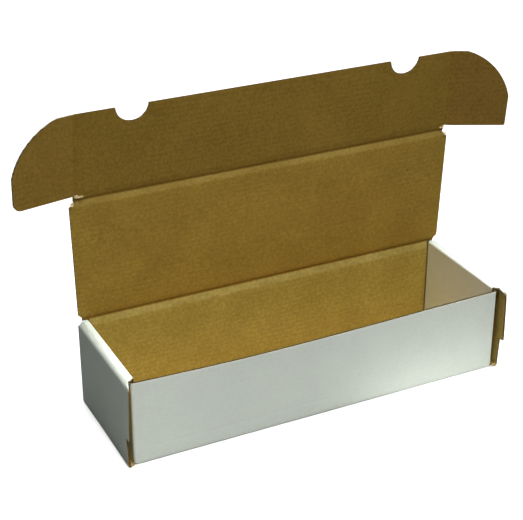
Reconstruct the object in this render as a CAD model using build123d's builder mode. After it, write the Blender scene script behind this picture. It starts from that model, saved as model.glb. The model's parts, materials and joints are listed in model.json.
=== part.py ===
"""Card storage box: one die-cut blank of white-faced corrugated board, folded up.

The box is a long tray with roll-over ends, a lid that hinges on the back wall, and a front
flap with two ears that tuck into slots in the ends. It is drawn open: the lid stands up
from the back wall, and the flap and its ears stand nearly straight above it.

Frame: +X along the length, -Y towards the front wall, +Z up. The origin is the middle of
the tray's underside. Every panel is three glued layers: a white liner on the outside of
the blank, the fluted paper, and a brown kraft liner on the inside.
"""
from math import ceil, cos, radians, sin
import os

from build123d import *

os.makedirs("parts", exist_ok=True)

# Outside of the closed box
overall_length = 323.85
overall_depth = 104.775
closed_height = 76.2

# Corrugated board
white_liner = 0.3
kraft_liner = 0.3
flute_height = 1.2
flute_pitch = 4.0
flute_crest = 0.4
flute_paper = 0.25

# Clearances: between a moving panel and its crease, and each side of an ear in its slot
running_gap = 0.3
slot_gap = 0.4

# Tray
flap_setback = 6.2
front_wall_drop = 3.5
end_step_height = 24.5
end_corner_radius = 6.0
dust_flap_gap = 7.0
dust_flap_corner = 5.0
lock_tab_width = 22.0
lock_tab_offset = 25.0

# Lid, front flap and ears
lid_side_inset = 0.4
lid_corner_cut = 5.0
lid_hinge_corner_cut = 2.5
flap_height = 68.0
notch_width = 26.0
notch_depth = 12.0
notch_offset = 114.4
ear_length = 50.0
ear_round_start = 29.5
ear_top_run = 12.5
ear_radius = 54.0
left_ear_corner = 6.0
right_ear_corner = 1.5
crease_web = 0.6

# The pose that the box is drawn in, in degrees
lid_angle = 86.5
flap_fold_angle = 1.4
left_ear_fold_angle = 8.5
right_ear_fold_angle = 21.5

# Board and the planes of the tray
board = white_liner + flute_height + kraft_liner
half_length = overall_length / 2
half_depth = overall_depth / 2
tray_height = closed_height - board - running_gap
strip_underside = tray_height - board
end_inner_x = half_length - board
slot_width = board + 2 * slot_gap
dust_outer_x = end_inner_x - slot_width
dust_inner_x = dust_outer_x - board
front_outer_y = -half_depth + flap_setback
front_inner_y = front_outer_y + board
back_inner_y = half_depth - board
front_wall_height = tray_height - front_wall_drop
bottom_depth = back_inner_y - front_inner_y
bottom_centre = (back_inner_y + front_inner_y) / 2
dust_flap_length = (bottom_depth - dust_flap_gap) / 2

# Creases that move: a bead of crushed board on each axis, and the edge that turns round it
bead_radius = board / 2
crease_gap = bead_radius + running_gap
lid_axis_y = half_depth - board / 2
lid_axis_z = closed_height - board / 2
lid_length = overall_depth - board
lid_half_width = half_length - lid_side_inset
ear_axis_x = end_inner_x - slot_gap - board / 2
ear_start = lid_axis_z - strip_underside + slot_gap
notch_radius = (notch_width**2 / 4 + notch_depth**2) / (2 * notch_depth)


def wave_outline(low, high):
    """Section of the fluted paper, closed, from below low to above high across the flutes.

    Each crest has a glued flat on the liner that it meets, and a sharp bend behind it.
    """
    face = flute_height / 2
    bend = face - flute_paper
    start = low - flute_pitch / 3
    upper = []
    lower = []
    for flute in range(ceil((high - start) / flute_pitch) + 1):
        crest = start + flute * flute_pitch
        trough = crest + flute_pitch / 2
        upper += [(crest - flute_crest / 2, face), (crest + flute_crest / 2, face), (trough, -bend)]
        lower += [(crest, bend), (trough - flute_crest / 2, -face), (trough + flute_crest / 2, -face)]
    return upper + lower[::-1]


def fold(start, end, out_a, out_b):
    """Section plane and length of a square fold, from the two ends of its inside corner."""
    run = Vector(*end) - Vector(*start)
    along = Vector(*out_a).cross(Vector(*out_b))
    origin = start if run.dot(along) > 0 else end
    return Plane(origin=origin, x_dir=out_a, z_dir=along), run.length


def board_panel(name, kraft_face, outline, folds=(), crushed=False):
    """Write the three layers of one panel.

    kraft_face is the plane of the brown face: its x runs along the flutes, and its z
    points through the board to the white face. The folds that join the panel to the one
    before it are bent white liner over crushed kraft. The flutes of a crushed panel, which
    lies between two creases, are pressed into a plain layer.
    """
    with BuildPart() as white:
        with BuildSketch(kraft_face.offset(board - white_liner)):
            add(outline)
        extrude(amount=white_liner)
        for section, length in folds:
            with BuildSketch(section):
                Circle(board)
                Circle(board - white_liner, mode=Mode.SUBTRACT)
                Rectangle(board, board, align=Align.MIN, mode=Mode.INTERSECT)
            extrude(amount=length)
    white.part.label = f"{name}_white_liner"
    export_step(white.part, f"parts/{white.part.label}.step")

    bounds = outline.bounding_box()
    middle = kraft_face.offset(kraft_liner + flute_height / 2)
    wave_plane = Plane(origin=middle.origin, x_dir=middle.y_dir, z_dir=middle.x_dir)
    with BuildPart() as fluting:
        with BuildSketch(kraft_face.offset(kraft_liner)):
            add(outline)
        extrude(amount=flute_height)
        if not crushed:
            with BuildSketch(wave_plane.offset(bounds.min.X)):
                with BuildLine():
                    Polyline(*wave_outline(bounds.min.Y, bounds.max.Y), close=True)
                make_face()
            extrude(amount=bounds.size.X, mode=Mode.INTERSECT)
    fluting.part.label = f"{name}_fluting"
    export_step(fluting.part, f"parts/{fluting.part.label}.step")

    with BuildPart() as kraft:
        with BuildSketch(kraft_face):
            add(outline)
        extrude(amount=kraft_liner)
        for section, length in folds:
            with BuildSketch(section):
                Circle(board - white_liner)
                Rectangle(board, board, align=Align.MIN, mode=Mode.INTERSECT)
            extrude(amount=length)
    kraft.part.label = f"{name}_kraft_liner"
    export_step(kraft.part, f"parts/{kraft.part.label}.step")


def crease_bead(name, start, end, towards):
    """Write the crushed board on a moving crease, with a web to the edge that carries it."""
    run = Vector(*end) - Vector(*start)
    with BuildPart() as bead:
        with BuildSketch(Plane(origin=start, x_dir=towards, z_dir=run)):
            Circle(bead_radius)
            Rectangle(crease_gap, crease_web, align=(Align.MIN, Align.CENTER))
        extrude(amount=run.length)
    bead.part.label = name
    export_step(bead.part, f"parts/{name}.step")


def side_outline(plane, corners):
    """Outline of an upright side panel from its (y, z, radius) corners in the box's axes."""
    flat = [plane.to_local_coords(Vector(plane.origin.X, y, z)) for y, z, radius in corners]
    with BuildSketch() as outline:
        with BuildLine():
            Polyline(*[(point.X, point.Y) for point in flat], close=True)
        make_face()
        for point, (y, z, radius) in zip(flat, corners):
            if radius > 0:
                fillet(outline.vertices().sort_by_distance(point)[0], radius)
    return outline.sketch


# Bottom panel: brown side up, with four slots that the lock tabs of the ends drop through
bottom_plane = Plane(origin=(0, 0, board), x_dir=(1, 0, 0), z_dir=(0, 0, -1))
lock_tab_x = dust_inner_x - board / 2
with BuildSketch() as bottom_outline:
    with Locations((0, -bottom_centre)):
        Rectangle(2 * end_inner_x, bottom_depth)
    with Locations((0, -bottom_centre)):
        with GridLocations(2 * lock_tab_x, 2 * lock_tab_offset, 2, 2):
            Rectangle(board + 2 * running_gap, lock_tab_width + 2 * running_gap, mode=Mode.SUBTRACT)
board_panel("bottom_panel", bottom_plane, bottom_outline.sketch)

# Front and back walls, folded up from the bottom panel
front_plane = Plane(origin=(0, front_inner_y, 0), x_dir=(1, 0, 0), z_dir=(0, -1, 0))
front_fold = fold(
    (-dust_inner_x, front_inner_y, board), (dust_inner_x, front_inner_y, board), (0, -1, 0), (0, 0, -1)
)
with BuildSketch() as front_outline:
    with Locations((0, board)):
        Rectangle(2 * dust_inner_x, front_wall_height - board, align=(Align.CENTER, Align.MIN))
board_panel("front_wall", front_plane, front_outline.sketch, [front_fold])

back_plane = Plane(origin=(0, back_inner_y, 0), x_dir=(-1, 0, 0), z_dir=(0, 1, 0))
back_fold = fold(
    (-dust_inner_x, back_inner_y, board), (dust_inner_x, back_inner_y, board), (0, 1, 0), (0, 0, -1)
)
with BuildSketch() as back_outline:
    with Locations((0, board)):
        Rectangle(2 * dust_inner_x, tray_height - board, align=(Align.CENTER, Align.MIN))
board_panel("back_wall", back_plane, back_outline.sketch, [back_fold])


def outer_end(name, side):
    """Outside wall of an end, folded up from the bottom; its front edge hides the flap."""
    plane = Plane(origin=(side * end_inner_x, 0, 0), x_dir=(0, 0, 1), z_dir=(side, 0, 0))
    corners = [
        (front_outer_y, board, 0),
        (front_outer_y, end_step_height, 0),
        (-half_depth, end_step_height, 0),
        (-half_depth, strip_underside, end_corner_radius),
        (half_depth, strip_underside, 0),
        (half_depth, board, 0),
    ]
    x = side * end_inner_x
    bottom_fold = fold((x, front_inner_y, board), (x, back_inner_y, board), (side, 0, 0), (0, 0, -1))
    board_panel(name, plane, side_outline(plane, corners), [bottom_fold])


def rollover(name, side):
    """Strip over the top of an end; its front edge slants back to the inner end panel."""
    plane = Plane(origin=(0, 0, strip_underside), x_dir=(1, 0, 0), z_dir=(0, 0, 1))
    outer_front = -half_depth + end_corner_radius
    inner_front = front_inner_y + running_gap
    back = back_inner_y - running_gap
    outer_x = side * end_inner_x
    inner_x = side * dust_inner_x
    with BuildSketch() as outline:
        with BuildLine():
            Polyline(
                (outer_x, outer_front), (inner_x, inner_front), (inner_x, back), (outer_x, back), close=True
            )
        make_face()
    top_fold = fold(
        (outer_x, outer_front, strip_underside), (outer_x, back, strip_underside), (side, 0, 0), (0, 0, 1)
    )
    board_panel(name, plane, outline.sketch, [top_fold], crushed=True)


def inner_end(name, side):
    """Inside wall of an end, folded down from the strip, white side to the cards."""
    x = side * dust_inner_x
    plane = Plane(origin=(x, 0, 0), x_dir=(0, 0, 1), z_dir=(-side, 0, 0))
    front = front_inner_y + running_gap
    back = back_inner_y - running_gap
    corners = [(front, strip_underside, 0), (front, board, 0)]
    for direction in (-1, 1):
        tab_middle = bottom_centre + direction * lock_tab_offset
        corners += [
            (tab_middle - lock_tab_width / 2, board, 0),
            (tab_middle - lock_tab_width / 2, 0, 0),
            (tab_middle + lock_tab_width / 2, 0, 0),
            (tab_middle + lock_tab_width / 2, board, 0),
        ]
    corners += [(back, board, 0), (back, strip_underside, 0)]
    inner_fold = fold((x, front, strip_underside), (x, back, strip_underside), (-side, 0, 0), (0, 0, 1))
    board_panel(name, plane, side_outline(plane, corners), [inner_fold])


def front_dust_flap(name, side):
    """Dust flap on the end of the front wall; its stepped foot is where the end was cut."""
    x = side * dust_inner_x
    plane = Plane(origin=(x, 0, 0), x_dir=(0, 1, 0), z_dir=(side, 0, 0))
    tip = front_inner_y + dust_flap_length
    step = front_inner_y + end_step_height - slot_width
    foot = board + running_gap
    corners = [
        (front_inner_y, foot, 0),
        (step, foot, 0),
        (step, foot + flap_setback, 0),
        (tip, foot + flap_setback, 0),
        (tip, front_wall_height, dust_flap_corner),
        (front_inner_y, front_wall_height, 0),
    ]
    foot_end = (x, front_inner_y, foot)
    top_end = (x, front_inner_y, front_wall_height)
    wall_fold = fold(foot_end, top_end, (side, 0, 0), (0, -1, 0))
    board_panel(name, plane, side_outline(plane, corners), [wall_fold])


def back_dust_flap(name, side):
    """Dust flap on the end of the back wall, under the roll-over strip."""
    x = side * dust_inner_x
    plane = Plane(origin=(x, 0, 0), x_dir=(0, 1, 0), z_dir=(side, 0, 0))
    tip = back_inner_y - dust_flap_length
    foot = board + running_gap
    top = strip_underside - running_gap
    corners = [
        (back_inner_y, foot, 0),
        (tip, foot + board, 0),
        (tip, top, dust_flap_corner),
        (back_inner_y, top, 0),
    ]
    foot_end = (x, back_inner_y, foot)
    top_end = (x, back_inner_y, top)
    wall_fold = fold(foot_end, top_end, (side, 0, 0), (0, 1, 0))
    board_panel(name, plane, side_outline(plane, corners), [wall_fold])


for end_name, end_side in (("left", -1), ("right", 1)):
    outer_end(f"{end_name}_outer_end", end_side)
    rollover(f"{end_name}_rollover", end_side)
    inner_end(f"{end_name}_inner_end", end_side)
    front_dust_flap(f"front_{end_name}_dust_flap", end_side)
    back_dust_flap(f"back_{end_name}_dust_flap", end_side)


def lid_direction(angle):
    """Direction from the hinge to the free edge of a panel opened by angle degrees."""
    return Vector(0, -cos(radians(angle)), sin(radians(angle)))


def white_direction(angle):
    """Direction of the white face of a panel opened by angle degrees."""
    return Vector(0, sin(radians(angle)), cos(radians(angle)))


# Lid: hinged on the back wall, with its four corners cut off, those at the flap deeper
lid_axis = Vector(0, lid_axis_y, lid_axis_z)
lid_out = lid_direction(lid_angle)
lid_white = white_direction(lid_angle)
lid_plane = Plane(origin=lid_axis - lid_white * (board / 2), x_dir=(-1, 0, 0), z_dir=lid_white)
with BuildSketch() as lid_outline:
    with Locations((0, lid_length / 2)):
        Rectangle(2 * lid_half_width, lid_length - 2 * crease_gap)
    lid_corners = lid_outline.vertices().sort_by(Axis.Y)
    chamfer(lid_corners[:2], lid_hinge_corner_cut)
    chamfer(lid_corners[2:], lid_corner_cut)
board_panel("lid_panel", lid_plane, lid_outline.sketch)

# Front flap: beyond the lid's crease, with two half-round finger notches in its free edge
flap_angle = lid_angle - flap_fold_angle
flap_axis = lid_axis + lid_out * lid_length
flap_out = lid_direction(flap_angle)
flap_white = white_direction(flap_angle)
flap_plane = Plane(origin=flap_axis - flap_white * (board / 2), x_dir=(-1, 0, 0), z_dir=flap_white)
flap_half_width = ear_axis_x - crease_gap
with BuildSketch() as flap_outline:
    with Locations((0, crease_gap)):
        Rectangle(2 * flap_half_width, flap_height - crease_gap, align=(Align.CENTER, Align.MIN))
    notch_centre = flap_height + notch_radius - notch_depth
    with Locations((-notch_offset, notch_centre), (notch_offset, notch_centre)):
        Circle(notch_radius, mode=Mode.SUBTRACT)
board_panel("front_flap", flap_plane, flap_outline.sketch)

# The beads of crushed board that the lid and the flap turn on
bead_half_length = min(dust_inner_x, lid_half_width - max(lid_corner_cut, lid_hinge_corner_cut))
bead_end = Vector(bead_half_length, 0, 0)
crease_bead("lid_crease", lid_axis - bead_end, lid_axis + bead_end, (0, 0, -1))
crease_bead("flap_crease", flap_axis - bead_end, flap_axis + bead_end, -lid_out)


def ear(name, side, fold_angle, corner_radius):
    """Ear on the end of the flap: a tongue with an arched corner that slides into a slot."""
    axis = flap_axis + Vector(side * ear_axis_x, 0, 0)
    outwards = Vector(side, 0, 0) * cos(radians(fold_angle)) - flap_white * sin(radians(fold_angle))
    white = flap_white * cos(radians(fold_angle)) + Vector(side, 0, 0) * sin(radians(fold_angle))
    plane = Plane(origin=axis - white * (board / 2), x_dir=outwards, z_dir=white)
    up = -side
    with BuildSketch() as outline:
        with BuildLine():
            Line((crease_gap, up * ear_start), (ear_length, up * ear_start))
            Line((ear_length, up * ear_start), (ear_length, up * ear_round_start))
            RadiusArc(
                (ear_length, up * ear_round_start), (ear_top_run, up * flap_height), -up * ear_radius
            )
            Line((ear_top_run, up * flap_height), (crease_gap, up * flap_height))
            Line((crease_gap, up * flap_height), (crease_gap, up * ear_start))
        make_face()
        fillet(outline.vertices().sort_by_distance((ear_length, up * ear_start, 0))[0], corner_radius)
    board_panel(name, plane, outline.sketch)
    crease_bead(f"{name}_crease", axis + flap_out * ear_start, axis + flap_out * flap_height, (-side, 0, 0))


ear("left_ear", -1, left_ear_fold_angle, left_ear_corner)
ear("right_ear", 1, right_ear_fold_angle, right_ear_corner)

print(f"board {board:.2f} mm, tray {tray_height:.2f} mm high, ear slot {slot_width:.2f} mm wide")
print(f"cards: {2 * (dust_inner_x - board):.1f} x {bottom_depth:.1f} x {tray_height - board:.1f} mm")
print(f"lid axis y {lid_axis.Y:.3f} z {lid_axis.Z:.3f}")
print(f"flap axis y {flap_axis.Y:.4f} z {flap_axis.Z:.4f}, along {flap_out.Y:.6f} {flap_out.Z:.6f}")
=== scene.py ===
# %% [markdown]
# # A fold-up card storage box
#
# The real box is one die-cut sheet of corrugated board, white outside and brown inside,
# folded into a long tray with a hinged lid. The panels come from the CAD model, layer by
# layer. This script dresses them: paper materials, the soft folds over the ends, the board
# crushed beside the creases, the bow of the front wall, the bent paper that crosses each
# crease, the torn bits at the corners, and the studio.

import json
from math import cos, pi, radians, sin

import bmesh
import bpy
from mathutils import Matrix, Vector, noise


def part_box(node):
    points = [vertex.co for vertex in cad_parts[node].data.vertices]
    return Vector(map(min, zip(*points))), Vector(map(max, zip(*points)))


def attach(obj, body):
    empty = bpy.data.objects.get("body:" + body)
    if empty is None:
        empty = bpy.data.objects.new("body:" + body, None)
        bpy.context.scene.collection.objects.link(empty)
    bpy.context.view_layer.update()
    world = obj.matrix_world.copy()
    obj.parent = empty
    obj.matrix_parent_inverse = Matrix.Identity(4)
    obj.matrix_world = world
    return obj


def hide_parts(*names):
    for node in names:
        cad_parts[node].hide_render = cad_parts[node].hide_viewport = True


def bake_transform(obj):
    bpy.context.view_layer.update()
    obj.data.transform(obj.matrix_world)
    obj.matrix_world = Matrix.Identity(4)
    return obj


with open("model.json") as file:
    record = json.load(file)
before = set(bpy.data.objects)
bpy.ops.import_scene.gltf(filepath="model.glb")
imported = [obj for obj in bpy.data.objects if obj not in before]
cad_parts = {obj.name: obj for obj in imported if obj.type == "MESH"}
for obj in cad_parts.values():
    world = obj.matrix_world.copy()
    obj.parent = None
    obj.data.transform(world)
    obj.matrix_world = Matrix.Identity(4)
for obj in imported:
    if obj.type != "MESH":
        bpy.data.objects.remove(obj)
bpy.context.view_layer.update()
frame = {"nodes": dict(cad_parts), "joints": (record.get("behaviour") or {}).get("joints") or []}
nodes = frame["nodes"]
joints = {joint["name"]: joint for joint in frame["joints"]}
print("nodes:", len(nodes), "joints:", list(joints))

# %% [markdown]
# ## Sizes from the frame
#
# The board's thickness and the hinge lines are read from the model, so that the paper
# made here follows it. MM turns millimetres, in which board is specified, into metres.

# %% Read the sizes
MM = 0.001
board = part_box("bottom_panel_kraft_liner")[1].z
lid_axis = Vector(joints["lid_hinge"]["pos_m"])
flap_axis = Vector(joints["flap_hinge"]["pos_m"])
ear_axis = Vector(joints["right_ear_hinge"]["pos_m"])
lid_up = (flap_axis - lid_axis).normalized()
flap_up = Vector(joints["left_ear_hinge"]["axis"])
front = Vector((0, -1, 0))
length = Vector((1, 0, 0))
lid_inner = length.cross(lid_up)
flap_inner = length.cross(flap_up)
print("board", round(board / MM, 2), "mm, lid axis", lid_axis, "flap axis", flap_axis)

# %% [markdown]
# ## Camera
#
# The photograph was taken from the front left, a little above the box, with a long lens.
# The place and the lens below were solved from the box's corners, whose real sizes are
# known.

# %% Make the camera
camera_data = bpy.data.cameras.new("camera")
camera_data.sensor_width = 36
camera_data.lens = 94.36
camera = bpy.data.objects.new("camera", camera_data)
camera.location = (-0.4413, -0.8319, 0.5912)
camera.rotation_euler = (radians(63.09), radians(0.04), radians(-26.30))
bpy.context.scene.collection.objects.link(camera)
bpy.context.scene.camera = camera
print("camera", tuple(round(value, 3) for value in camera.location))

# %% [markdown]
# ## Shader groups
#
# Paper looks like paper because of a few things: cloudy patches where the pulp settled,
# fine fibres, the faint washboard where the liner sinks between the flutes, the low swelling
# of the white side along a crease with a painted highlight on the strip below it, the colour
# where the sheet is cut, partly raw and partly painted shade, and on the front wall some
# faint dents. Each is a node group, built once and placed in the papers that need it. The
# helpers below keep the trees short to write.


# %% Helpers for node trees
def add_node(tree, kind, inputs=None, **settings):
    """Add a node, set its attributes, and fill or link its inputs by name or number."""
    node = tree.nodes.new(kind)
    for name, value in settings.items():
        setattr(node, name, value)
    for name, value in (inputs or {}).items():
        socket = node.inputs[name]
        if isinstance(value, bpy.types.NodeSocket):
            tree.links.new(value, socket)
        else:
            socket.default_value = value
    return node


def calc(tree, operation, *values):
    """Work out one, two or three values with a Math node."""
    node = add_node(tree, "ShaderNodeMath", dict(enumerate(values)), operation=operation)
    return node.outputs[0]


def ranged(tree, value, start, end, low=0.0, high=1.0, smooth=False):
    """Turn start..end of a value into low..high, with nothing outside."""
    inputs = {"Value": value, "From Min": start, "From Max": end, "To Min": low, "To Max": high}
    kind = "SMOOTHSTEP" if smooth else "LINEAR"
    return add_node(tree, "ShaderNodeMapRange", inputs, interpolation_type=kind).outputs[0]


def blended(tree, share, first, second):
    """Mix two colours: 0 gives the first, 1 the second."""
    inputs = {0: share, 6: first, 7: second}
    return add_node(tree, "ShaderNodeMix", inputs, data_type="RGBA").outputs[2]


def near(tree, value, place, reach):
    """1 where a value is at a place, falling evenly to 0 at a distance from it."""
    off = calc(tree, "ABSOLUTE", calc(tree, "SUBTRACT", value, place))
    return ranged(tree, off, 0.0, reach, 1.0, 0.0)


def new_group(name, inputs, outputs):
    """Make a shader group with the named sockets, and return its tree, entry and exit."""
    tree = bpy.data.node_groups.new(name, "ShaderNodeTree")
    for socket, kind, value in inputs:
        made = tree.interface.new_socket(socket, in_out="INPUT", socket_type=kind)
        if value is not None:
            made.default_value = value
    for socket in outputs:
        tree.interface.new_socket(socket, in_out="OUTPUT", socket_type="NodeSocketFloat")
    return tree, tree.nodes.new("NodeGroupInput"), tree.nodes.new("NodeGroupOutput")


# %% Pulp: cloudy patches and fibres
def make_pulp_group():
    """Soft clouds, fine mottle, and fibres drawn out along the box."""
    tree, entry, leave = new_group(
        "pulp",
        [("Point", "NodeSocketVector", None), ("Cloud scale", "NodeSocketFloat", 35.0)],
        ["Cloud", "Mottle", "Fibre"],
    )
    point = entry.outputs["Point"]
    cloud_inputs = {"Vector": point, "Scale": entry.outputs["Cloud scale"], "Detail": 5.0}
    cloud = add_node(tree, "ShaderNodeTexNoise", cloud_inputs)
    mottle = add_node(tree, "ShaderNodeTexNoise", {"Vector": point, "Scale": 420.0, "Detail": 2.0})
    stretched = add_node(tree, "ShaderNodeMapping", {"Vector": point, "Scale": (0.35, 1.0, 1.0)})
    grain = {"Vector": stretched.outputs[0], "Scale": 1500.0, "Detail": 3.0, "Roughness": 0.7}
    fibre = add_node(tree, "ShaderNodeTexNoise", grain)
    tree.links.new(cloud.outputs["Fac"], leave.inputs["Cloud"])
    tree.links.new(mottle.outputs["Fac"], leave.inputs["Mottle"])
    tree.links.new(fibre.outputs["Fac"], leave.inputs["Fibre"])
    return tree


pulp_group = make_pulp_group()
print(pulp_group.name, len(pulp_group.nodes), "nodes")


# %% Washboard: the ripple over the flutes
def make_washboard_group():
    """A wave across the flutes that drifts a little and fades in patches."""
    tree, entry, leave = new_group(
        "washboard",
        [
            ("Point", "NodeSocketVector", None),
            ("Across", "NodeSocketVector", None),
            ("Pitch", "NodeSocketFloat", 4 * MM),
        ],
        ["Ripple"],
    )
    point = entry.outputs["Point"]
    along_inputs = {0: point, 1: entry.outputs["Across"]}
    along = add_node(tree, "ShaderNodeVectorMath", along_inputs, operation="DOT_PRODUCT")
    turns = calc(tree, "DIVIDE", along.outputs["Value"], entry.outputs["Pitch"])
    drift = add_node(tree, "ShaderNodeTexNoise", {"Vector": point, "Scale": 9.0, "Detail": 1.0})
    drifted = calc(tree, "MULTIPLY_ADD", drift.outputs["Fac"], 0.3, turns)
    wave = calc(tree, "SINE", calc(tree, "MULTIPLY", drifted, 2 * pi))
    patch = add_node(tree, "ShaderNodeTexNoise", {"Vector": point, "Scale": 14.0, "Detail": 2.0})
    strength = ranged(tree, patch.outputs["Fac"], 0.35, 0.65, 0.3, 1.0)
    tree.links.new(calc(tree, "MULTIPLY", wave, strength), leave.inputs["Ripple"])
    return tree


washboard_group = make_washboard_group()
print(washboard_group.name, len(washboard_group.nodes), "nodes")


# %% Cut edge: where the surface is the sheet's own edge
def make_cut_group():
    """1 where a surface faces the way that a panel's cut edges do, 0 on its broad faces."""
    tree, entry, leave = new_group(
        "cut_edge",
        [("Normal", "NodeSocketVector", None), ("Faces", "NodeSocketVector", None)],
        ["Edge"],
    )
    normal = entry.outputs["Normal"]
    # Sideways, a cut counts whichever way it faces. Along the height it has to face up.
    flip = {0: normal, 1: (-1, -1, 0)}
    flipped = add_node(tree, "ShaderNodeVectorMath", flip, operation="MULTIPLY")
    either = {0: normal, 1: flipped.outputs[0]}
    larger = add_node(tree, "ShaderNodeVectorMath", either, operation="MAXIMUM")
    dot_inputs = {0: larger.outputs[0], 1: entry.outputs["Faces"]}
    facing = add_node(tree, "ShaderNodeVectorMath", dot_inputs, operation="DOT_PRODUCT")
    edge = ranged(tree, facing.outputs["Value"], 0.55, 0.8, smooth=True)
    tree.links.new(edge, leave.inputs["Edge"])
    return tree


cut_group = make_cut_group()
print(cut_group.name, len(cut_group.nodes), "nodes")


# %% Crease: the white side swells along a fold line, and a highlight is painted below it
def make_crease_group():
    """Swell is 1 on a crease and falls to 0 beside it. The second output, a painted highlight, is 1
    on the strip below it.
    """
    tree, entry, leave = new_group(
        "crease",
        [("Point", "NodeSocketVector", None), ("Reach", "NodeSocketFloat", 9 * MM)],
        ["Swell", "Highlight"],
    )
    reach = entry.outputs["Reach"]
    axes = add_node(tree, "ShaderNodeSeparateXYZ", {0: entry.outputs["Point"]})
    lid_line = near(tree, axes.outputs["Z"], lid_axis.z, reach)
    flap_line = near(tree, axes.outputs["Z"], flap_axis.z, reach)
    sideways = calc(tree, "ABSOLUTE", axes.outputs["X"])
    ear_reach, ear_share = 6 * MM, 0.7
    ear_line = near(tree, sideways, ear_axis.x, ear_reach)
    on_flap = calc(tree, "GREATER_THAN", axes.outputs["Z"], flap_axis.z)
    ears = calc(tree, "MULTIPLY", ear_line, calc(tree, "MULTIPLY", on_flap, ear_share))
    nearest = calc(tree, "MAXIMUM", calc(tree, "MAXIMUM", lid_line, flap_line), ears)
    tree.links.new(calc(tree, "MULTIPLY", nearest, nearest), leave.inputs["Swell"])
    # A painted highlight lies on a strip below each crease.
    below_lid_z, lid_highlight_reach = lid_axis.z - 4 * MM, 5.5 * MM
    below_flap_z, flap_highlight_reach = flap_axis.z - 3 * MM, 4.2 * MM
    lid_highlight = near(tree, axes.outputs["Z"], below_lid_z, lid_highlight_reach)
    flap_highlight = near(tree, axes.outputs["Z"], below_flap_z, flap_highlight_reach)
    painted_highlight = calc(tree, "MAXIMUM", lid_highlight, flap_highlight)
    tree.links.new(ranged(tree, painted_highlight, 0.0, 0.8, smooth=True), leave.inputs["Highlight"])
    return tree


crease_group = make_crease_group()
print(crease_group.name, len(crease_group.nodes), "nodes")


# %% Grooves: the faint dents pressed into the front wall
def make_groove_group():
    """A wide arc below the wall's top edge, and a level line near its foot."""
    tree, entry, leave = new_group("grooves", [("Point", "NodeSocketVector", None)], ["Groove"])
    arc_offset, arc_half, arc_rise, arc_z, arc_wide = 20 * MM, 80 * MM, 8 * MM, 54 * MM, 1.6 * MM
    line_z, line_wide, line_x, line_half = 13.4 * MM, 1.4 * MM, -62 * MM, 85 * MM
    axes = add_node(tree, "ShaderNodeSeparateXYZ", {0: entry.outputs["Point"]})
    aside = calc(tree, "DIVIDE", calc(tree, "ADD", axes.outputs["X"], arc_offset), arc_half)
    sag = calc(tree, "MULTIPLY", aside, aside)
    arc_height = calc(tree, "MULTIPLY_ADD", sag, arc_rise, arc_z)
    arc = near(tree, calc(tree, "SUBTRACT", axes.outputs["Z"], arc_height), 0.0, arc_wide)
    arc_fade = ranged(tree, calc(tree, "ABSOLUTE", aside), 0.85, 1.15, 0.5, 0.0, smooth=True)
    low = near(tree, axes.outputs["Z"], line_z, line_wide)
    low_fade = near(tree, axes.outputs["X"], line_x, line_half)
    low_line = calc(tree, "MULTIPLY", low, ranged(tree, low_fade, 0.0, 0.25, smooth=True))
    both = calc(tree, "MULTIPLY_ADD", arc, arc_fade, low_line)
    tree.links.new(both, leave.inputs["Groove"])
    return tree


groove_group = make_groove_group()
print(groove_group.name, len(groove_group.nodes), "nodes")

# %% [markdown]
# ## Paper materials
#
# The brown inside is unbleached kraft liner: an olive brown, darker in the clouds, with
# pale fibres. The outside is white-coated liner, a cool white with a trace of green. The
# flutes are a rougher, duller brown, darkened further as painted shade of their hollows.
# Washboard runs along the flutes, with painted shade in its troughs, and a cut shows the
# raw sheet, darkened on the brown as painted shade of the open flutes, so a paper is made
# for each way that a panel can lie: its direction across the flutes, and the directions
# that its cut edges face. The brown is also made lighter or darker panel by panel, and that
# tone is the third value of each way: painted light and shade, lighter on the lid and the
# walls, darker on the flap and the ears.

# %% The colours and surfaces of the papers
# colour, dark and light are the pulp, its clouds and its fibres; light is also the colour of
# the painted highlight below a crease. edge is the cut: raw on the white, and on the brown and
# the flutes darkened further as painted shade of the open flutes. rough is the least and the
# most roughness, and gloss the specular level. ripple and swell are heights in metres. The
# shade of the ripple is painted shade in the washboard's troughs, and mottle says how much
# the pulp shows.
kraft_look = {
    "colour": (0.395, 0.238, 0.036),
    "dark": (0.335, 0.198, 0.028),
    "light": (0.50, 0.335, 0.085),
    "edge": (0.11, 0.07, 0.015),
    "rough": (0.7, 0.9),
    "gloss": 0.1,
    "ripple": 0.012 * MM,
    "ripple_shade": 0.09,
    "mottle": 0.14,
    "swell": 0.0,
}
white_look = {
    "colour": (0.75, 0.81, 0.715),
    "dark": (0.72, 0.78, 0.69),
    "light": (0.79, 0.83, 0.76),
    "edge": (0.34, 0.28, 0.16),
    "rough": (0.5, 0.65),
    "gloss": 0.2,
    "ripple": 0.006 * MM,
    "ripple_shade": 0.012,
    "mottle": 0.02,
    "swell": 0.12 * MM,
}
# The flutes' brown is darker than their paper, as painted shade of the hollows between them.
flute_look = {
    "colour": (0.14, 0.09, 0.024),
    "dark": (0.10, 0.065, 0.016),
    "light": (0.24, 0.165, 0.055),
    "edge": (0.12, 0.08, 0.02),
    "rough": (0.8, 0.95),
    "gloss": 0.05,
    "ripple": 0.0,
    "ripple_shade": 0.0,
    "mottle": 0.1,
    "swell": 0.0,
}
crushed_look = {**kraft_look, "colour": (0.20, 0.12, 0.02), "dark": (0.15, 0.09, 0.015)}
torn_look = {
    **white_look,
    "colour": (0.72, 0.56, 0.26),
    "dark": (0.50, 0.36, 0.13),
    "light": (0.78, 0.66, 0.38),
}
print("brown", kraft_look["colour"], "white", white_look["colour"])


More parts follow.
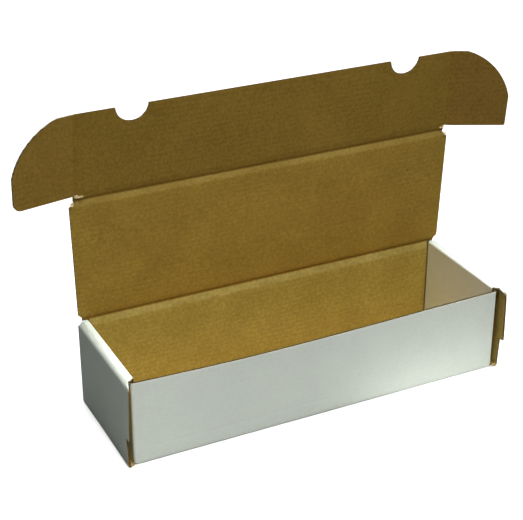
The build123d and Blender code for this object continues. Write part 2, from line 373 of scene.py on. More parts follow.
# %% The colour of a paper
def paper_colour(tree, look, pulp, cut_edge, painted_highlight):
    """Clouds, then fibres, then the painted highlight below a crease, then the cut."""
    clouds = ranged(tree, pulp["Cloud"], 0.3, 0.7)
    colour = blended(tree, clouds, (*look["dark"], 1), (*look["colour"], 1))
    fibres = ranged(tree, pulp["Fibre"], 0.45, 0.75, 0.0, 0.5)
    colour = blended(tree, fibres, colour, (*look["light"], 1))
    # The strip below a crease is painted lighter in patches: a painted highlight.
    patchy = ranged(tree, pulp["Cloud"], 0.35, 0.65, 0.35, 0.65)
    patchy_highlight = calc(tree, "MULTIPLY", painted_highlight, patchy)
    colour = blended(tree, patchy_highlight, colour, (*look["light"], 1))
    return blended(tree, cut_edge, colour, (*look["edge"], 1))


# %% The shade of a paper: a factor on its colour, partly painted shade and partly its own marks
def paper_shade(tree, look, point, pulp, ripple, painted_fold_shade, fleck, corner):
    """Painted shade in the washboard's troughs and mottle, and on some papers a painted shade line
    along a fold, a fleck or a painted shadow near the ends.
    """
    # The washboard's troughs are darkened: painted shade.
    trough_shade = ranged(tree, ripple, -1.0, 1.0, 1 - look["ripple_shade"], 1.0)
    mottled = ranged(tree, pulp["Mottle"], 0.3, 0.7, 1 - look["mottle"], 1 + look["mottle"])
    shade = calc(tree, "MULTIPLY", trough_shade, mottled)
    # A thin line along a fold is darkened: painted shade in the crease.
    if painted_fold_shade:
        across = add_node(tree, "ShaderNodeAttribute", attribute_name="across").outputs["Fac"]
        line_place, line_reach, line_shade = 0.5 * MM, 0.8 * MM, 0.85
        line = near(tree, across, line_place, line_reach)
        shade = calc(tree, "MULTIPLY", shade, ranged(tree, line, 0.0, 1.0, 1.0, line_shade))
    if fleck:
        dark, clear = 0.4 * MM, 1.0 * MM
        away = add_node(tree, "ShaderNodeVectorMath", {0: point, 1: fleck}, operation="DISTANCE")
        spot = ranged(tree, away.outputs["Value"], dark, clear, 0.25, 1.0, smooth=True)
        shade = calc(tree, "MULTIPLY", shade, spot)
    # Past a ragged line near each end the brown is darkened: a painted shadow in the corner.
    if corner:
        raggedness, blur = 0.9 * MM, 0.4 * MM
        x = add_node(tree, "ShaderNodeSeparateXYZ", {0: point}).outputs["X"]
        sideways = calc(tree, "ABSOLUTE", x)
        ragged = calc(tree, "MULTIPLY_ADD", pulp["Mottle"], raggedness, sideways)
        shadow = ranged(tree, ragged, corner, corner + blur, 1.0, 0.3)
        shade = calc(tree, "MULTIPLY", shade, shadow)
    return shade


# %% The relief of a paper
def paper_relief(tree, look, point, pulp, ripple, swell, grooves):
    """The normal over the washboard, the fibres, the swelling along a crease and the grooves."""
    fibre_height, groove_height = 0.02 * MM, -0.07 * MM
    relief = calc(tree, "MULTIPLY", ripple, look["ripple"])
    relief = calc(tree, "MULTIPLY_ADD", pulp["Fibre"], fibre_height, relief)
    relief = calc(tree, "MULTIPLY_ADD", swell, look["swell"], relief)
    if grooves:
        pressed = add_node(tree, "ShaderNodeGroup", {"Point": point}, node_tree=groove_group)
        relief = calc(tree, "MULTIPLY_ADD", pressed.outputs["Groove"], groove_height, relief)
    bump = add_node(tree, "ShaderNodeBump", {"Height": relief, "Distance": 1.0, "Strength": 1.0})
    return bump.outputs["Normal"]


# %% Make a paper material
def make_paper(
    name, look, across, cut_faces, painted_fold_shade=False, grooves=False, fleck=None, corner=None
):
    """A paper from its look, the direction across its flutes, and the axes its cuts face."""
    material = bpy.data.materials.new(name)
    material.use_nodes = True
    tree = material.node_tree
    shader = tree.nodes["Principled BSDF"]
    shader.inputs["Specular IOR Level"].default_value = look["gloss"]
    place = add_node(tree, "ShaderNodeTexCoord").outputs
    point = place["Object"]

    def placed(group, **inputs):
        return add_node(tree, "ShaderNodeGroup", inputs, node_tree=group).outputs

    pulp = placed(pulp_group, Point=point)
    ripple = placed(washboard_group, Point=point, Across=across)["Ripple"]
    cut_edge = placed(cut_group, Normal=place["Normal"], Faces=cut_faces)["Edge"]
    crease = placed(crease_group, Point=point)
    colour = paper_colour(tree, look, pulp, cut_edge, crease["Highlight"])
    shade = paper_shade(tree, look, point, pulp, ripple, painted_fold_shade, fleck, corner)
    shaded = add_node(tree, "ShaderNodeVectorMath", {0: colour, 3: shade}, operation="SCALE")
    roughness = ranged(tree, pulp["Cloud"], 0.3, 0.7, *look["rough"])
    normal = paper_relief(tree, look, point, pulp, ripple, crease["Swell"], grooves)
    tree.links.new(shaded.outputs[0], shader.inputs["Base Color"])
    tree.links.new(roughness, shader.inputs["Roughness"])
    tree.links.new(normal, shader.inputs["Normal"])
    return material


# %% Make the papers of the panels
def toned(look, red, green, blue):
    """The same paper with its colours a little stronger or weaker."""
    tone = Vector((red, green, blue))
    changed = {part: tuple(Vector(look[part]) * tone) for part in ("colour", "dark", "light")}
    return {**look, **changed}


# For each way that a panel lies: the direction across its flutes, the axes that its cut
# edges face, and the tone of its brown paper, which is painted light and shade.
panel_ways = {
    "walls": ((0, 0, 1), (1, 0, 1), (1.13, 1.36, 1.72)),
    "lid": ((0, 0, 1), (1, 0, 1), (1.10, 1.17, 1.22)),
    "flap": ((0, 0, 1), (1, 0, 1), (0.92, 0.95, 1.0)),
    "left_ear": ((0, 0, 1), (1, 0, 1), (0.91, 0.92, 1.05)),
    "right_ear": ((0, 0, 1), (1, 0, 1), (0.80, 0.78, 0.93)),
    "dust_flaps": ((0, 0, 1), (0, 0, 1), (1.2, 1.2, 1.2)),
    "ends": ((0, 1, 0), (0, 1, 0), (0.95, 1.1, 1.7)),
    "inner_ends": ((0, 1, 0), (0, 1, 0), (0.95, 1.1, 1.7)),
    "bottom": ((0, 1, 0), (1, 1, 0), (1.2, 1.2, 1.2)),
}
# The white paper is a little lighter on the two ends, and lighter still on the inner ends as
# painted light bounced off the brown inside.
white_tones = {"ends": (1.06, 1.08, 1.06), "inner_ends": (1.16, 1.17, 1.22)}
# The lid has one dark fleck. The walls' brown paper gets a painted shadow past a ragged line
# near each end, in the corner by the inner ends, and its cut edge is darker than the others
# as painted shade of the open flutes.
flecks_and_shadows = {
    "lid": {"fleck": (126.1 * MM, 46.5 * MM, 147.1 * MM)},
    "walls": {"corner": 153.1 * MM},
}
papers = {}
for way, (across, cut_faces, tone) in panel_ways.items():
    brown = toned(kraft_look, *tone)
    # The walls' cut edge is darkened further: painted shade of the open flutes.
    if way == "walls":
        brown["edge"] = (0.045, 0.032, 0.008)
    white = toned(white_look, *white_tones.get(way, (1, 1, 1)))
    fleck_or_shadow = flecks_and_shadows.get(way, {})
    papers["kraft_liner", way] = make_paper(f"kraft_{way}", brown, across, cut_faces, **fleck_or_shadow)
    papers["white_liner", way] = make_paper(f"white_{way}", white, across, cut_faces)
print("panel papers:", len(papers))

# %% Make the papers of single pieces
front_look = {**white_look, "edge": (0.62, 0.58, 0.42)}
front_paper = make_paper("white_front_wall", front_look, (0, 0, 1), (1, 0, 1), grooves=True)
uncut = ((0, 0, 1), (0, 0, 0))
flute_paper = make_paper("flute_paper", flute_look, *uncut)
# At the front wall's cut top the flutes are darkened much further, as painted shade.
hollow_flutes = make_paper("hollow_flutes", toned(flute_look, 0.35, 0.37, 0.4), *uncut)
crushed_board = make_paper("crushed_board", crushed_look, *uncut)
torn_paper = make_paper("torn_paper", torn_look, *uncut)
folded_look = toned(kraft_look, 0.9, 0.9, 0.9)
# The brown band's paper carries the painted shade line along the fold.
folded_kraft = make_paper("folded_kraft", folded_look, *uncut, painted_fold_shade=True)
folded_white = make_paper("folded_white", white_look, *uncut)
print("papers:", [material.name for material in bpy.data.materials])


# %% Put a paper on every layer
def panel_way(name):
    """The way that a node's panel lies, from its name."""
    if "dust_flap" in name:
        return "dust_flaps"
    if name.startswith("bottom"):
        return "bottom"
    if name.startswith("lid"):
        return "lid"
    if name.startswith("front_flap"):
        return "flap"
    if "ear_" in name:
        return name[: name.index("ear_") + 3]
    if "inner_end" in name:
        return "inner_ends"
    return "ends" if "end" in name or "rollover" in name else "walls"


for name, node in nodes.items():
    layer = next((kind for kind in ("kraft_liner", "white_liner") if name.endswith(kind)), None)
    material = papers[layer, panel_way(name)] if layer else flute_paper
    if name == "front_wall_white_liner":
        material = front_paper
    if name.endswith("_crease"):
        material = crushed_board
    node.data.materials.clear()
    node.data.materials.append(material)
print("papers on", len(nodes), "layers")

# %% [markdown]
# ## Roll-over ends
#
# Each end is one strip of board that goes up outside, over the top and down inside. In the
# model its folds are square. In the real box the outer fold is soft and wide, the free
# front edge leans outwards, and the white paper curls down over the cut at the front of
# the strip. A box primitive can't give that, so each layer is a sheet: a row of edges is
# pushed along the section, spun round the fold, cut to outline, leaned out and thickened.
# The flutes there stand upright, so no wave shows at the cuts and a plain core will do.

# %% Sizes of the ends
wall_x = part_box("right_outer_end_white_liner")[1].x
strip_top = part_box("right_rollover_white_liner")[1].z
strip_inner_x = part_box("right_rollover_white_liner")[0].x
lip_y, wall_back_y = (corner.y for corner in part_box("right_outer_end_kraft_liner"))
strip_back_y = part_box("right_rollover_fluting")[1].y
wall_front_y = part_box("front_wall_white_liner")[0].y
step_y, step_z = wall_front_y - 1.0 * MM, 27.0 * MM
lip_radius = 6.0 * MM
lip_centre_z = strip_top - board - lip_radius
white_radius, flute_radius, brown_radius = 5.3 * MM, 5.0 * MM, 1.5 * MM
liner, core = 0.3 * MM, 1.2 * MM
curl_out = 0.35 * MM
print("end wall", round(wall_x / MM, 2), "strip", round(strip_inner_x / MM, 2))


# %% Push a row of edges along a section
def push(shape, row, offset):
    """Extrude a row of edges by an offset and return the new row."""
    made = bmesh.ops.extrude_edge_only(shape, edges=row)["geom"]
    moved = [part for part in made if isinstance(part, bmesh.types.BMVert)]
    bmesh.ops.translate(shape, vec=offset, verts=moved)
    rim = [part for part in made if isinstance(part, bmesh.types.BMEdge)]
    return [edge for edge in rim if all(vert in moved for vert in edge.verts)]


def turn(shape, row, centre, steps):
    """Spin a row of edges by a quarter turn in the section, and return the last row."""
    spun = bmesh.ops.spin(
        shape, geom=row, cent=centre, axis=(0, -1, 0), dvec=(0, 0, 0), angle=pi / 2,
        steps=steps, use_duplicate=False,
    )
    return [part for part in spun["geom_last"] if isinstance(part, bmesh.types.BMEdge)]


def finish_piece(name, shape, material):
    """Turn a shape into an object with one paper: smooth faces, crisp edges."""
    mesh = bpy.data.meshes.new(name)
    shape.to_mesh(mesh)
    shape.free()
    if "custom_normal" in mesh.attributes:
        mesh.attributes.remove(mesh.attributes["custom_normal"])
    mesh.shade_smooth()
    mesh.set_sharp_from_angle(angle=radians(35))
    mesh.materials.append(material)
    piece = bpy.data.objects.new(name, mesh)
    bpy.context.scene.collection.objects.link(piece)
    print(name, len(mesh.polygons), "faces")
    return piece


# %% Outline of the end: where each row of the sheet starts and stops
def end_range(x, z, curl):
    """Front and back of the end sheet at a place of its section, on the right-hand side."""
    if z < board * 0.99:  # the foot, under the wall
        return step_y, strip_back_y + 0.3 * MM
    if x < wall_x - board * 0.99 and z > strip_top - 2 * board:  # the strip on top
        along = (wall_x - board - x) / (wall_x - board - strip_inner_x)
        return lip_y + lip_radius - curl + along * (board + 0.5 * MM), strip_back_y
    front_y = lip_y
    if z > lip_centre_z:  # the round corner at the wall's upper front
        front_y += lip_radius - max(lip_radius**2 - (z - lip_centre_z) ** 2, 0) ** 0.5
    back_y = wall_back_y if z < strip_top - 2.2 * board else strip_back_y
    return front_y, back_y


# %% Lean of the end: its free front edge stands out a little
leanings = {
    "left": ((0, 0.5), (27, 1.3), (48, 0.6), (64, 0.0), (74.1, 0.0)),
    "right": ((0, 0.9), (24, 2.1), (74.1, 1.1)),
}


def clamped(value):
    """Keep a value between 0 and 1."""
    return min(max(value, 0), 1)


def eased(share):
    """Let a change from 0 to 1 start and stop softly."""
    return share * share * (3 - 2 * share)


def lean(y, z, leaning):
    """How far the front edge leans outwards, from a list of (height, lean) in mm."""
    last_y, depth = 20 * MM, 72 * MM
    reach = clamped((last_y - y) / depth)
    for (low, first), (high, second) in zip(leaning, leaning[1:]):
        if z <= high * MM or high == leaning[-1][0]:
            climb = clamped((z / MM - low) / (high - low))
            return (first + (second - first) * climb) * MM * eased(reach)


# %% Bend a sheet along the end's section
def bent_sheet(inset, fold_radius):
    """A sheet from 0 to 1 deep that goes round the foot, up the wall and over the top."""
    depth_cuts, foot_steps, wall_steps, fold_steps = 35, 5, 12, 9
    shape = bmesh.new()
    foot_x = wall_x - board
    ends = [bmesh.ops.create_vert(shape, co=(foot_x, y, inset))["vert"][0] for y in (0, 1)]
    bmesh.ops.subdivide_edges(shape, edges=[shape.edges.new(ends)], cuts=depth_cuts)
    row = turn(shape, list(shape.edges), (foot_x, 0, board), foot_steps)
    rise = strip_top - inset - fold_radius - board
    for _ in range(wall_steps):
        row = push(shape, row, (0, 0, rise / wall_steps))
    fold_centre = (wall_x - inset - fold_radius, 0, strip_top - inset - fold_radius)
    row = turn(shape, row, fold_centre, fold_steps)
    push(shape, row, (strip_inner_x - fold_centre[0], 0, 0))
    return shape


# %% Curl the white paper down over the cut at the strip's front
def front_edges(shape, low, high, behind):
    """Open edges between two heights that lie in front of a depth."""
    return [
        edge for edge in shape.edges
        if edge.is_boundary and all(low < v.co.z < high and v.co.y < behind for v in edge.verts)
    ]


def curl_front(shape):
    """Push the open front edges of the strip and of the round corner over the cut."""
    top = front_edges(shape, strip_top - 0.5 * MM, strip_top + board, 0)
    tip = [edge for edge in top if abs(edge.verts[0].co.x - edge.verts[1].co.x) > 0.1 * MM]
    low, high = lip_centre_z + 0.5 * MM, strip_top - 0.3 * MM
    rim = front_edges(shape, low, high, lip_y + lip_radius)
    for x, y, z in ((0, -0.35, 0.2), (-1.0, 0.1, -0.15)):
        rim = push(shape, rim, (x * MM, y * MM, z * MM))
    for y, z in ((-0.35, -0.25), (-0.15, -0.55), (0.05, -0.75)):
        tip = push(shape, tip, (0, y * MM, z * MM))


# %% Cut the step out of the end's lower front corner
def cut_across(shape, place, normal):
    """Cut a shape along a plane and keep both sides."""
    whole = [*shape.verts, *shape.edges, *shape.faces]
    bmesh.ops.bisect_plane(shape, geom=whole, plane_co=place, plane_no=normal, dist=1e-7)


def cut_step(shape):
    """Cut the sheet at the step's two edges and delete the corner below them."""
    cut_across(shape, (0, step_y, 0), (0, 1, 0))
    cut_across(shape, (0, 0, step_z), (0, 0, 1))
    middles = {face: face.calc_center_median() for face in shape.faces}
    below = [face for face, middle in middles.items() if middle.y < step_y and middle.z < step_z]
    bmesh.ops.delete(shape, geom=below, context="FACES")


# %% Squeeze the flutes in the top fold, so that they stay outside the brown liner
def squeeze_fold(shape, leaning):
    """Push the inner side of the fold out to the back of the brown liner's round corner."""
    inset = liner + core + brown_radius
    round_x, round_z = wall_x - inset, strip_top - inset
    corner_reach, least = 7 * MM, 0.05 * MM
    for vert in shape.verts:
        shift = lean(vert.co.y, vert.co.z, leaning) if vert.co.x > wall_x - board else 0
        out = max(vert.co.x - shift - round_x, 0)
        up = max(vert.co.z - round_z, 0)
        reach = (out * out + up * up) ** 0.5
        in_corner = vert.co.x > wall_x - corner_reach and vert.co.z > strip_top - corner_reach
        if in_corner and least < reach < brown_radius:
            vert.co.x = round_x + shift + out * brown_radius / reach if out else vert.co.x
            vert.co.z = round_z + up * brown_radius / reach if up else vert.co.z


# %% Make one layer of an end
def end_layer(name, side, inset, radius, thickness, leaning, curl, material, stands_for):
    """Bend, cut, lean and thicken the sheet of one layer, and mirror it for the left end."""
    shape = bent_sheet(inset, radius)
    for vert in shape.verts:
        start, stop = end_range(vert.co.x, vert.co.z, curl)
        vert.co.y = start + vert.co.y * (stop - start)
    if curl:
        curl_front(shape)
    cut_step(shape)
    for vert in shape.verts:
        hold = clamped((vert.co.x - (wall_x - board)) / (board - inset))
        vert.co.x += hold * lean(vert.co.y, vert.co.z, leaning)
    bmesh.ops.recalc_face_normals(shape, faces=shape.faces)
    wall = max(shape.faces, key=lambda face: face.calc_area()).normal
    if wall.x < 0 or (abs(wall.x) < 0.5 and wall.z < 0):
        bmesh.ops.reverse_faces(shape, faces=shape.faces)
    bmesh.ops.solidify(shape, geom=list(shape.faces), thickness=thickness)
    if thickness == core:
        squeeze_fold(shape, leaning)
    if side < 0:
        bmesh.ops.scale(shape, vec=(-1, 1, 1), verts=shape.verts)
    bmesh.ops.recalc_face_normals(shape, faces=shape.faces)
    piece = finish_piece(name, shape, material)
    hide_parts(*stands_for)
    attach(piece, "tray")
    return piece


# %% Make both ends
layer_slots = {
    "white_liner": "white_paper",
    "fluting": "fluted_paper",
    "kraft_liner": "kraft_paper",
}
end_layers = (
    ("white_liner", 0.0, white_radius, liner, curl_out, papers["white_liner", "ends"]),
    ("fluting", liner, flute_radius, core, 0.0, flute_paper),
    ("kraft_liner", liner + core, brown_radius, liner, 0.0, papers["kraft_liner", "ends"]),
)
for end, side in (("left", -1), ("right", 1)):
    for layer, inset, radius, thickness, curl, paper in end_layers:
        name = f"{end}_end_{layer}"
        stands_for = [f"{end}_outer_end_{layer}", f"{end}_rollover_{layer}"]
        piece = end_layer(
            name, side, inset, radius, thickness, leanings[end], curl, paper, stands_for
        )

# %% [markdown]
# ## Crushed board beside the creases
#
# A scoring wheel crushes the flutes for several millimetres on each side of a crease, so
# the brown face sinks towards the fold and catches the light below it. The model's panels
# are flat. Their brown liner and fluting are copied, merged, cut along lines beside the
# crease, and pressed towards the white side, which stays flat. The real lid isn't quite
# square either: its left edge leans outwards towards the flap. So all three of its layers
# are copied, and the lean is given to each of them.

# %% How deep and how wide the board is crushed, in mm, and each crease's bend in degrees
below_lid, below_flap = (1.2, 11.0), (1.2, 8.5)
above_lid, above_flap = (0.5, 6.0), (0.7, 6.0)
beside_ear = (0.55, 7.0)
bends = {"lid": 3.5, "flap": 1.4, "left_ear": 8.5, "right_ear": 21.5}


def sink(away, depth, reach):
    """How far the brown face sinks, in mm, at a distance from a crease."""
    return depth * max(1 - away / reach, 0) ** 1.5


# %% Lean of the lid's left edge
def flare(place):
    """How far the lid's left edge stands out sideways at a place."""
    most, start_x, width = 3.5 * MM, -110 * MM, 51 * MM
    aside = clamped((start_x - place.x) / width)
    height = clamped((place.z - lid_axis.z) / (flap_axis.z - lid_axis.z))
    return most * aside * aside * height


# %% Press a copy of a panel's layer
# The heights, in mm over the crease's axis, of the white paper and of the brown face.
white_face, brown_face = -0.6, 0.9
cut_shares = (0.2, 0.35, 0.5, 0.65, 0.8, 0.9, 1.0)


def merged_copy(name):
    """A copy of a CAD layer's mesh, merged so that it can be cut and bent."""
    shape = bmesh.new()
    shape.from_mesh(nodes[name].data)
    bmesh.ops.remove_doubles(shape, verts=shape.verts, dist=1e-6)
    bmesh.ops.recalc_face_normals(shape, faces=shape.faces)
    return shape


def crushed_copy(name, body, origin, inner, lines):
    """Copy a layer and sink it beside lines, each (place, direction, (depth, reach))."""
    shape = merged_copy(name)
    for place, direction, (_, reach) in lines:
        for share in cut_shares:
            cut_across(shape, place + direction * (reach * share * MM), direction)
    for vert in shape.verts:
        height = (vert.co - origin).dot(inner) / MM
        hold = clamped((height - white_face) / (brown_face - white_face))
        sinks = [0]
        for place, direction, crushed in lines:
            away = max((vert.co - place).dot(direction) / MM, 0)
            sinks.append(sink(away, *crushed))
        vert.co -= inner * (max(sinks) * hold * MM)
        if body == "lid":
            vert.co.x -= flare(vert.co)
    layer = next(kind for kind in layer_slots if name.endswith(kind))
    paper = papers.get((layer, panel_way(name)), flute_paper)
    piece = finish_piece(f"crushed_{name}", shape, paper)
    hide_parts(name)
    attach(piece, body)


# %% Crush the panels that meet at a moving crease
def turned_with(ear, vector):
    """Turn a direction of the flap by an ear's bend."""
    axis = Vector(joints[f"{ear}_hinge"]["axis"])
    return Matrix.Rotation(radians(bends[ear]), 3, axis) @ vector


left_crease = Vector((-ear_axis.x, ear_axis.y, ear_axis.z))
back_lines = [(lid_axis, Vector((0, 0, -1)), below_lid)]
lid_lines = [(lid_axis, lid_up, above_lid), (flap_axis, -lid_up, below_flap)]
flap_lines = [
    (flap_axis, flap_up, above_flap),
    (left_crease, length, beside_ear),
    (ear_axis, -length, beside_ear),
]
crushed_panels = [
    ("back_wall", "tray", lid_axis, front, back_lines),
    ("lid_panel", "lid", lid_axis, lid_inner, lid_lines),
    ("front_flap", "front_flap", flap_axis, flap_inner, flap_lines),
]
for ear, crease, out in (("left_ear", left_crease, -length), ("right_ear", ear_axis, length)):
    ear_lines = [(crease, turned_with(ear, out), beside_ear)]
    crushed_panels.append((ear, ear, crease, turned_with(ear, flap_inner), ear_lines))
for panel, body, origin, inner, lines in crushed_panels:
    layers = layer_slots if panel == "lid_panel" else ("fluting", "kraft_liner")
    for layer in layers:
        crushed_copy(f"{panel}_{layer}", body, origin, inner, lines)

# %% [markdown]
# ## Bowed front wall
#
# The long front wall is held only at its ends, so its free top edge bows out and sinks a
# little, most left of the middle. The model's wall is flat. Its three layers are copied,
# cut along a grid of lines and pushed out more and more towards the top. The bow stays
# small enough for the closed flap to pass in front of it. The flutes are open along the
# wall's cut top and lie in their own shade, so their paper is darker than that of the
# other flutes.

# %% How far the wall bows at a place
wall_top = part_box("front_wall_white_liner")[1].z
wall_foot = 2.5 * MM
full_bow = Vector((0, -3.1 * MM, -0.8 * MM))


def bow(x, z):
    """Share of the full bow at a place of the wall: 0 at its ends and foot, 1 at its peak."""
    peak, left_end, right_end = -45 * MM, -155 * MM, 155 * MM
    if x < peak:
        along = max((x - left_end) / (peak - left_end), 0)
    else:
        along = max((right_end - x) / (right_end - peak), 0) ** 1.25
    rise = clamped((z - wall_foot) / (wall_top - wall_foot))
    return sin(pi / 2 * along) * rise**1.2


# %% Bow the three layers of the front wall
wall_papers = {
    "white_liner": front_paper,
    "fluting": hollow_flutes,
    "kraft_liner": papers["kraft_liner", "walls"],
}
cuts_along, cuts_up = range(-150, 151, 10), range(6, 68, 6)
for layer, paper in wall_papers.items():
    name = f"front_wall_{layer}"
    shape = merged_copy(name)
    for x in cuts_along:
        cut_across(shape, (x * MM, 0, 0), length)
    for z in cuts_up:
        cut_across(shape, (0, 0, z * MM), (0, 0, 1))
    for vert in shape.verts:
        vert.co += full_bow * bow(vert.co.x, vert.co.z)
    piece = finish_piece(f"bowed_{name}", shape, paper)
    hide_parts(name)
    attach(piece, "tray")

# %% [markdown]
# ## Creases that move
#
# A crease is a line of board crushed flat, with the two papers running across it. When the
# panel swings, the brown paper wrinkles into the corner and the white paper goes round
# outside. Rigid panels leave a gap there, so each crease gets two bands of paper. How far
# each point lies across the fold is kept on the mesh, for the painted shade line along the
# fold.


# %% Lay out a flat band
brown_band, white_band = 0.8 * MM, 0.12 * MM


def flat_band(hinge, ways, reach, section, thickness):
    """A band along a crease. Its section lists (across, height) in mm."""
    along, across, inner = ways
    shape = bmesh.new()
    start = hinge + along * (reach[0] * MM)
    points = [
        shape.verts.new(start + across * (u * MM) + inner * (height * MM)) for u, height in section
    ]
    row = [shape.edges.new(pair) for pair in zip(points, points[1:])]
    steps = 48
    for _ in range(steps):
        row = push(shape, row, along * ((reach[1] - reach[0]) * MM / steps))
    outwards = inner if thickness == brown_band else -inner
    bmesh.ops.recalc_face_normals(shape, faces=shape.faces)
    if sum((face.normal for face in shape.faces), Vector()).dot(outwards) < 0:
        bmesh.ops.reverse_faces(shape, faces=shape.faces)
    bmesh.ops.solidify(shape, geom=list(shape.faces), thickness=thickness)
    bmesh.ops.recalc_face_normals(shape, faces=shape.faces)
    return shape


# %% Fold a band and tie it to the panels on both sides of its crease
fold_reach = 1.5 * MM


def fold_about(shape, joint, across, angle):
    """Fold a flat band about a joint: one side stays, the other turns by the angle."""
    axis = Vector(joint["axis"])
    hinge = Vector(joint["pos_m"])
    for vert in shape.verts:
        place = clamped(((vert.co - hinge).dot(across) + fold_reach) / (2 * fold_reach))
        vert.co = Matrix.Rotation(angle * eased(place), 4, axis) @ (vert.co - hinge) + hinge


def crease_band(crease, face, ways, reach, section, thickness, material):
    """A band of paper over a crease. The ways are along it, across it and to its inside."""
    across = ways[1]
    joint = joints[f"{crease}_hinge"]
    hinge = Vector(joint["pos_m"])
    shape = flat_band(hinge, ways, reach, section, thickness)
    spread = shape.verts.layers.float.new("across")
    for vert in shape.verts:
        vert[spread] = (vert.co - hinge).dot(across)
    fold_about(shape, joint, across, radians(bends[crease]))
    piece = finish_piece(f"{crease}_fold_{face}", shape, material)
    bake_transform(piece)
    return piece


# %% Sections of the bands, in mm
def inside_section(before, after):
    """Section of the brown band between two crushed sides, each (depth, reach)."""
    left = [(-away, brown_face - sink(away, *before)) for away in (1.6, 1.4, 1.1, 0.6)]
    right = [(away, brown_face - sink(away, *after)) for away in (0.6, 1.2, 1.8, 2.6)]
    lift = (-0.03, 0.03, 0.05, 0.05, 0.05, 0.05, 0.03, -0.03)
    raised = [(u, height + more) for (u, height), more in zip(left + right, lift)]
    middle = (raised[3][1] + raised[4][1]) / 2
    return raised[:4] + [(0, middle)] + raised[4:]


outside_section = [
    (-2.4, -0.88), (-1.2, -1.0), (-0.6, -1.1), (0, -1.12), (0.6, -1.1), (1.2, -1.0), (2.4, -0.88)
]

# %% Make the bands of the four creases
upwards = Vector((0, 0, 1))
creases = (
    ("lid", (length, upwards, front), (-158.6, 158.6), below_lid, above_lid),
    ("flap", (length, lid_up, lid_inner), (-161.5, 157.6), below_flap, above_flap),
    ("left_ear", (flap_up, -length, flap_inner), (3.5, 67.9), beside_ear, beside_ear),
    ("right_ear", (flap_up, length, flap_inner), (3.5, 67.9), beside_ear, beside_ear),
)
for crease, ways, reach, before, after in creases:
    section = inside_section(before, after)
    band = crease_band(crease, "brown", ways, reach, section, brown_band, folded_kraft)
    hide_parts(f"{crease}_crease")
    band = crease_band(crease, "white", ways, reach, outside_section, white_band, folded_white)

# %% [markdown]
# ## Torn bits
#
# A die cuts board roughly where two creases or a crease and an edge meet: small scraps of
# the pale inner fibres stand up there. Each is a ragged disc: a circle of few corners,
# pushed in and out by noise, cupped, thickened, and laid on its panel.


# %% Make a torn scrap
def torn_scrap(name, body, place, facing, size, seed):
    """A scrap of torn paper at a place, lying along the box and facing a direction."""
    shape = bmesh.new()
    bmesh.ops.create_circle(shape, cap_ends=True, segments=18, radius=1)
    bmesh.ops.poke(shape, faces=shape.faces)
    bmesh.ops.subdivide_edges(shape, edges=shape.edges, cuts=1)
    for vert in shape.verts:
        ragged = 1 + 0.7 * noise.noise(vert.co * 2.3 + Vector((seed * 7.1, 0, 0)))
        wavy = noise.noise(vert.co * 1.5 + Vector((0, seed * 5.3, 0)))
        cupped = 0.25 * vert.co.length_squared + 0.2 * wavy
        wide, tall = size
        vert.co = Vector((vert.co.x * ragged * wide, vert.co.y * ragged * tall, cupped * tall)) * MM
    bmesh.ops.solidify(shape, geom=list(shape.faces), thickness=0.15 * MM)
    bmesh.ops.recalc_face_normals(shape, faces=shape.faces)
    side = facing.cross(length).normalized()
    turned = Matrix((length, side, facing)).transposed().to_4x4()
    bmesh.ops.transform(shape, matrix=Matrix.Translation(place) @ turned, verts=shape.verts)
    piece = finish_piece(name, shape, torn_paper)
    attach(piece, body)


# %% Scraps beside the flap's crease: place along the box, height over the crease, size, in mm
sides = {"front_flap": (flap_up, flap_inner), "lid": (lid_up, lid_inner)}
lift = 0.98
crease_scraps = (
    ("torn_flap_left", "front_flap", -156.9, 2.3, (3.6, 0.9)),
    ("torn_flap_right", "front_flap", 155.5, 2.3, (2.2, 1.0)),
    ("torn_lid_left", "lid", -163.0, -3.4, (1.9, 1.4)),
    ("torn_lid_right", "lid", 159.6, -4.2, (1.5, 1.1)),
)
for seed, (name, body, x, height, size) in enumerate(crease_scraps, 1):
    up, inner = sides[body]
    place = Vector((x * MM, flap_axis.y, flap_axis.z)) + up * (height * MM) + inner * (lift * MM)
    torn_scrap(name, body, place, (inner * 0.75 + up * 0.65).normalized(), size, seed)

# %% Scraps at the foot of the front wall
foot_scraps = (("torn_foot_left", -159.6, (1.8, 1.6)), ("torn_foot_right", 159.4, (2.4, 1.7)))
foot_y, foot_z = -46.9 * MM, 2.2 * MM
for seed, (name, x, size) in enumerate(foot_scraps, 5):
    torn_scrap(name, "tray", Vector((x * MM, foot_y, foot_z)), front, size, seed)

# %% [markdown]
# ## Studio
#
# A pale floor with no edge in view, a large soft light overhead, and a small one in front
# that lights the walls and, narrowed by a grid, fades towards the flap. The floor looks
# white to the camera and sends little light back up, so the left end stays in shade. Only
# in front of the wall's right half does a small patch of it send light back, as white
# paper would. Both come from one material, with the Light Path node to tell the camera's
# view of the floor from the light that it gives.


# %% Floor
def grey(level):
    """A grey as an opaque colour."""
    return (level, level, level, 1)


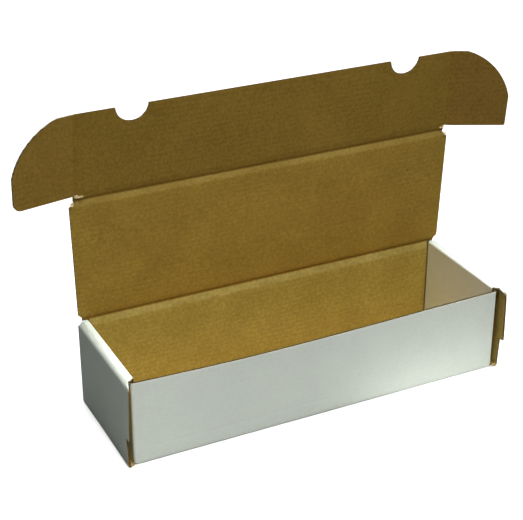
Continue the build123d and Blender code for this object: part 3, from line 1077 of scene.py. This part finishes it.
def make_floor():
    """A wide floor."""
    shape = bmesh.new()
    bmesh.ops.create_grid(shape, x_segments=1, y_segments=1, size=6)
    material = bpy.data.materials.new("floor")
    material.use_nodes = True
    tree = material.node_tree
    shader = tree.nodes["Principled BSDF"]
    shader.inputs["Roughness"].default_value = 1.0
    shader.inputs["Specular IOR Level"].default_value = 0.0
    shader.inputs["Emission Strength"].default_value = 1.0
    seen = add_node(tree, "ShaderNodeLightPath").outputs["Is Camera Ray"]
    point = add_node(tree, "ShaderNodeTexCoord").outputs["Object"]
    # The patch is centred 112 mm right of the middle, 68 mm in front, and wider than deep.
    from_patch = {"Vector": point, "Location": (-0.045, 0.068, 0), "Scale": (0.4, 1, 1)}
    patch_point = add_node(tree, "ShaderNodeMapping", from_patch).outputs[0]
    away = add_node(tree, "ShaderNodeVectorMath", {0: patch_point}, operation="LENGTH")
    past_patch = ranged(tree, away.outputs["Value"], 0.01, 0.05, smooth=True)
    bounce = blended(tree, past_patch, grey(0.87), grey(0.17))
    colour = blended(tree, seen, bounce, grey(0.95))
    tree.links.new(colour, shader.inputs["Base Color"])
    far = add_node(tree, "ShaderNodeVectorMath", {0: point}, operation="LENGTH")
    distance = ranged(tree, far.outputs["Value"], 0.5, 1.5, smooth=True)
    glow = blended(tree, distance, grey(0.42), grey(1))
    glow = blended(tree, seen, grey(0), glow)
    tree.links.new(glow, shader.inputs["Emission Color"])
    finish_piece("floor", shape, material)


make_floor()


# %% Lights
def add_area_light(name, place, target, width, height, watts, spread=180):
    """A rectangular light at a place, turned to a target."""
    data = bpy.data.lights.new(name, "AREA")
    data.shape = "RECTANGLE"
    data.size = width
    data.size_y = height
    data.energy = watts
    data.spread = radians(spread)
    light = bpy.data.objects.new(name, data)
    light.location = place
    light.rotation_euler = (Vector(target) - Vector(place)).to_track_quat("-Z", "Y").to_euler()
    bpy.context.scene.collection.objects.link(light)
    print(name, "light,", watts, "W")


add_area_light("overhead", (0.1, -0.05, 1.4), (0, 0, 0), 1.4, 1.0, 28.5)
add_area_light("front", (-0.1, -1.2, 1.6), (-0.14, -0.30, 0), 0.8, 0.3, 1.52, spread=30)

# %% Room: white to the camera, nearly dark to the box
world = bpy.data.worlds.new("world")
world.use_nodes = True
room = world.node_tree
background = room.nodes["Background"]
background.inputs["Strength"].default_value = 1.0
looked_at = add_node(room, "ShaderNodeLightPath").outputs["Is Camera Ray"]
room_colour = blended(room, looked_at, grey(0.03), grey(0.97))
room.links.new(room_colour, background.inputs["Color"])
bpy.context.scene.world = world
bpy.context.scene.view_settings.view_transform = "Standard"
print("view transform", bpy.context.scene.view_settings.view_transform)
